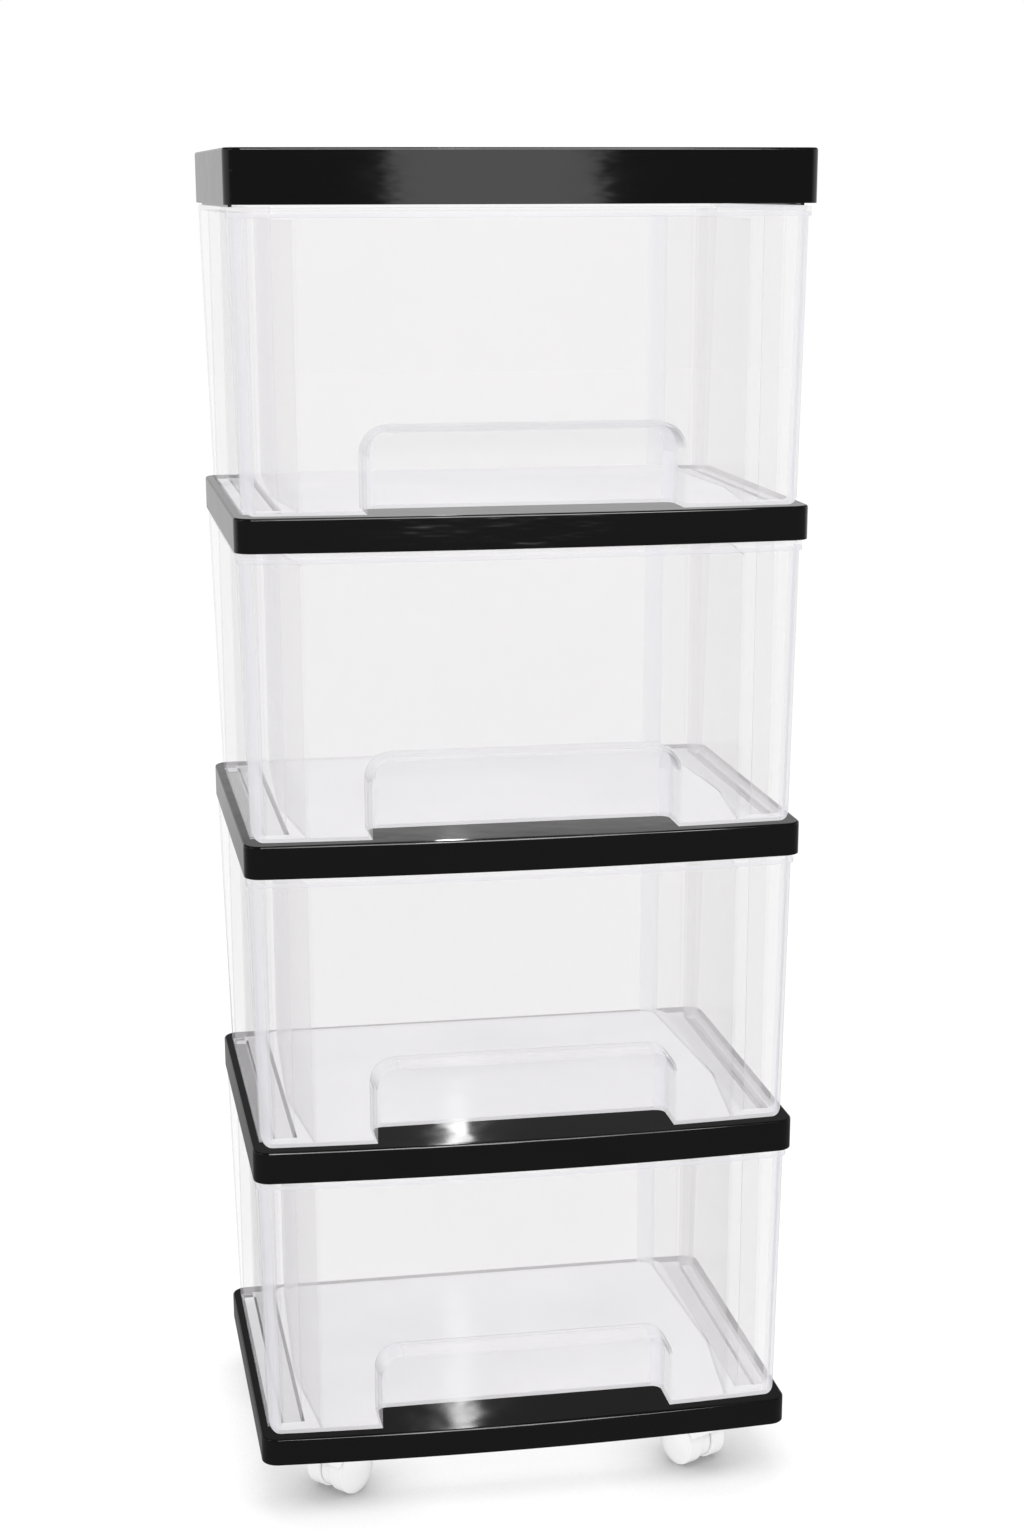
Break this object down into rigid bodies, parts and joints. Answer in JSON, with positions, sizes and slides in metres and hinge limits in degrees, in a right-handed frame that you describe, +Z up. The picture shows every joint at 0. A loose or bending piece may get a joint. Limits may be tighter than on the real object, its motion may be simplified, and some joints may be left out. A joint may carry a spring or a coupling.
{
  "type": "drawer storage tower",
  "caption": "Free-standing plastic storage tower: clear pull-out drawers in clear housings between black trays, under a black cover, on swivel castors.",
  "frame": {"origin": "on the floor, under the middle of the bounding box", "axes": "+X to the right as seen from the front, the drawers open towards -Y, +Z up"},
  "size_m": [0.39, 0.29, 0.952],
  "materials": {
    "black_plastic": "polished injection moulding",
    "clear_plastic": "clear, slightly milky injection moulding",
    "white_plastic": "smooth white moulding",
    "steel": "zinc-plated pin"
  },
  "bodies": {
    "root": {"base_tray": "black_plastic", "lower_shelf": "black_plastic", "middle_shelf": "black_plastic", "upper_shelf": "black_plastic", "top_cover": "black_plastic", "lowest_housing": "clear_plastic", "lower_housing": "clear_plastic", "upper_housing": "clear_plastic", "top_housing": "clear_plastic"},
    "lowest_drawer_body": {"lowest_drawer": "clear_plastic"},
    "lower_drawer_body": {"lower_drawer": "clear_plastic"},
    "upper_drawer_body": {"upper_drawer": "clear_plastic"},
    "top_drawer_body": {"top_drawer": "clear_plastic"},
    "castor_front_left_swivel": {"castor_front_left_fork": "white_plastic", "castor_front_left_stem": "steel"},
    "castor_front_left_wheels": {"castor_front_left_axle": "steel", "castor_front_left_wheel_inner": "white_plastic", "castor_front_left_wheel_outer": "white_plastic"},
    "castor_front_right_swivel": {"castor_front_right_fork": "white_plastic", "castor_front_right_stem": "steel"},
    "castor_front_right_wheels": {"castor_front_right_axle": "steel", "castor_front_right_wheel_inner": "white_plastic", "castor_front_right_wheel_outer": "white_plastic"},
    "castor_rear_left_swivel": {"castor_rear_left_fork": "white_plastic", "castor_rear_left_stem": "steel"},
    "castor_rear_left_wheels": {"castor_rear_left_axle": "steel", "castor_rear_left_wheel_inner": "white_plastic", "castor_rear_left_wheel_outer": "white_plastic"},
    "castor_rear_right_swivel": {"castor_rear_right_fork": "white_plastic", "castor_rear_right_stem": "steel"},
    "castor_rear_right_wheels": {"castor_rear_right_axle": "steel", "castor_rear_right_wheel_inner": "white_plastic", "castor_rear_right_wheel_outer": "white_plastic"}
  },
  "joints": [
    {"name": "lowest_drawer_slide", "type": "slide", "parent": "root", "child": "lowest_drawer_body", "axis": [0, -1, 0], "range_m": [0, 0.2]},
    {"name": "lower_drawer_slide", "type": "slide", "parent": "root", "child": "lower_drawer_body", "axis": [0, -1, 0], "range_m": [0, 0.2]},
    {"name": "upper_drawer_slide", "type": "slide", "parent": "root", "child": "upper_drawer_body", "axis": [0, -1, 0], "range_m": [0, 0.2]},
    {"name": "top_drawer_slide", "type": "slide", "parent": "root", "child": "top_drawer_body", "axis": [0, -1, 0], "range_m": [0, 0.2]},
    {"name": "castor_front_left_turn", "type": "hinge", "parent": "root", "child": "castor_front_left_swivel", "pos_m": [-0.128, -0.093, 0.04], "axis": [0, 0, 1], "continuous": true},
    {"name": "castor_front_left_roll", "type": "hinge", "parent": "castor_front_left_swivel", "child": "castor_front_left_wheels", "pos_m": [-0.13543, -0.09969, 0.018], "axis": [-0.6691, 0.7431, 0], "continuous": true},
    {"name": "castor_front_right_turn", "type": "hinge", "parent": "root", "child": "castor_front_right_swivel", "pos_m": [0.128, -0.093, 0.04], "axis": [0, 0, 1], "continuous": true},
    {"name": "castor_front_right_roll", "type": "hinge", "parent": "castor_front_right_swivel", "child": "castor_front_right_wheels", "pos_m": [0.13254, -0.10191, 0.018], "axis": [-0.891, -0.454, 0], "continuous": true},
    {"name": "castor_rear_left_turn", "type": "hinge", "parent": "root", "child": "castor_rear_left_swivel", "pos_m": [-0.128, 0.093, 0.04], "axis": [0, 0, 1], "continuous": true},
    {"name": "castor_rear_left_roll", "type": "hinge", "parent": "castor_rear_left_swivel", "child": "castor_rear_left_wheels", "pos_m": [-0.13619, 0.08726, 0.018], "axis": [-0.5736, 0.8192, 0], "continuous": true},
    {"name": "castor_rear_right_turn", "type": "hinge", "parent": "root", "child": "castor_rear_right_swivel", "pos_m": [0.128, 0.093, 0.04], "axis": [0, 0, 1], "continuous": true},
    {"name": "castor_rear_right_roll", "type": "hinge", "parent": "castor_rear_right_swivel", "child": "castor_rear_right_wheels", "pos_m": [0.13619, 0.08726, 0.018], "axis": [-0.5736, -0.8192, 0], "continuous": true}
  ]
}
